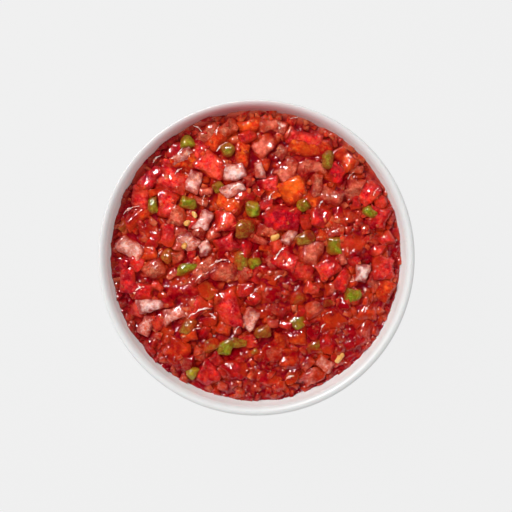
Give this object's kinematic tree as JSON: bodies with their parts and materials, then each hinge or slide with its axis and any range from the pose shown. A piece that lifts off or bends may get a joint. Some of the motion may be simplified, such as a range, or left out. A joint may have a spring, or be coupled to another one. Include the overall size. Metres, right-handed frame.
{
  "type": "bowl of salsa",
  "caption": "Round white dip bowl on a foot ring, filled with chunky salsa: diced tomato, onion and pepper standing out of red pulp and juice.",
  "frame": {"origin": "centre of the bowl's foot, on the surface that the bowl stands on", "axes": "+Z up along the bowl's axis; +Y is up in the picture and +X is to the right in it, so the fill lies a little higher at +Y"},
  "size_m": [0.1096, 0.1096, 0.05],
  "materials": {
    "bowl": "smooth white glaze",
    "salsa": "wet diced vegetables in red juice"
  },
  "bodies": {
    "root": {"bowl": "bowl", "salsa": "salsa"}
  },
  "joints": []
}
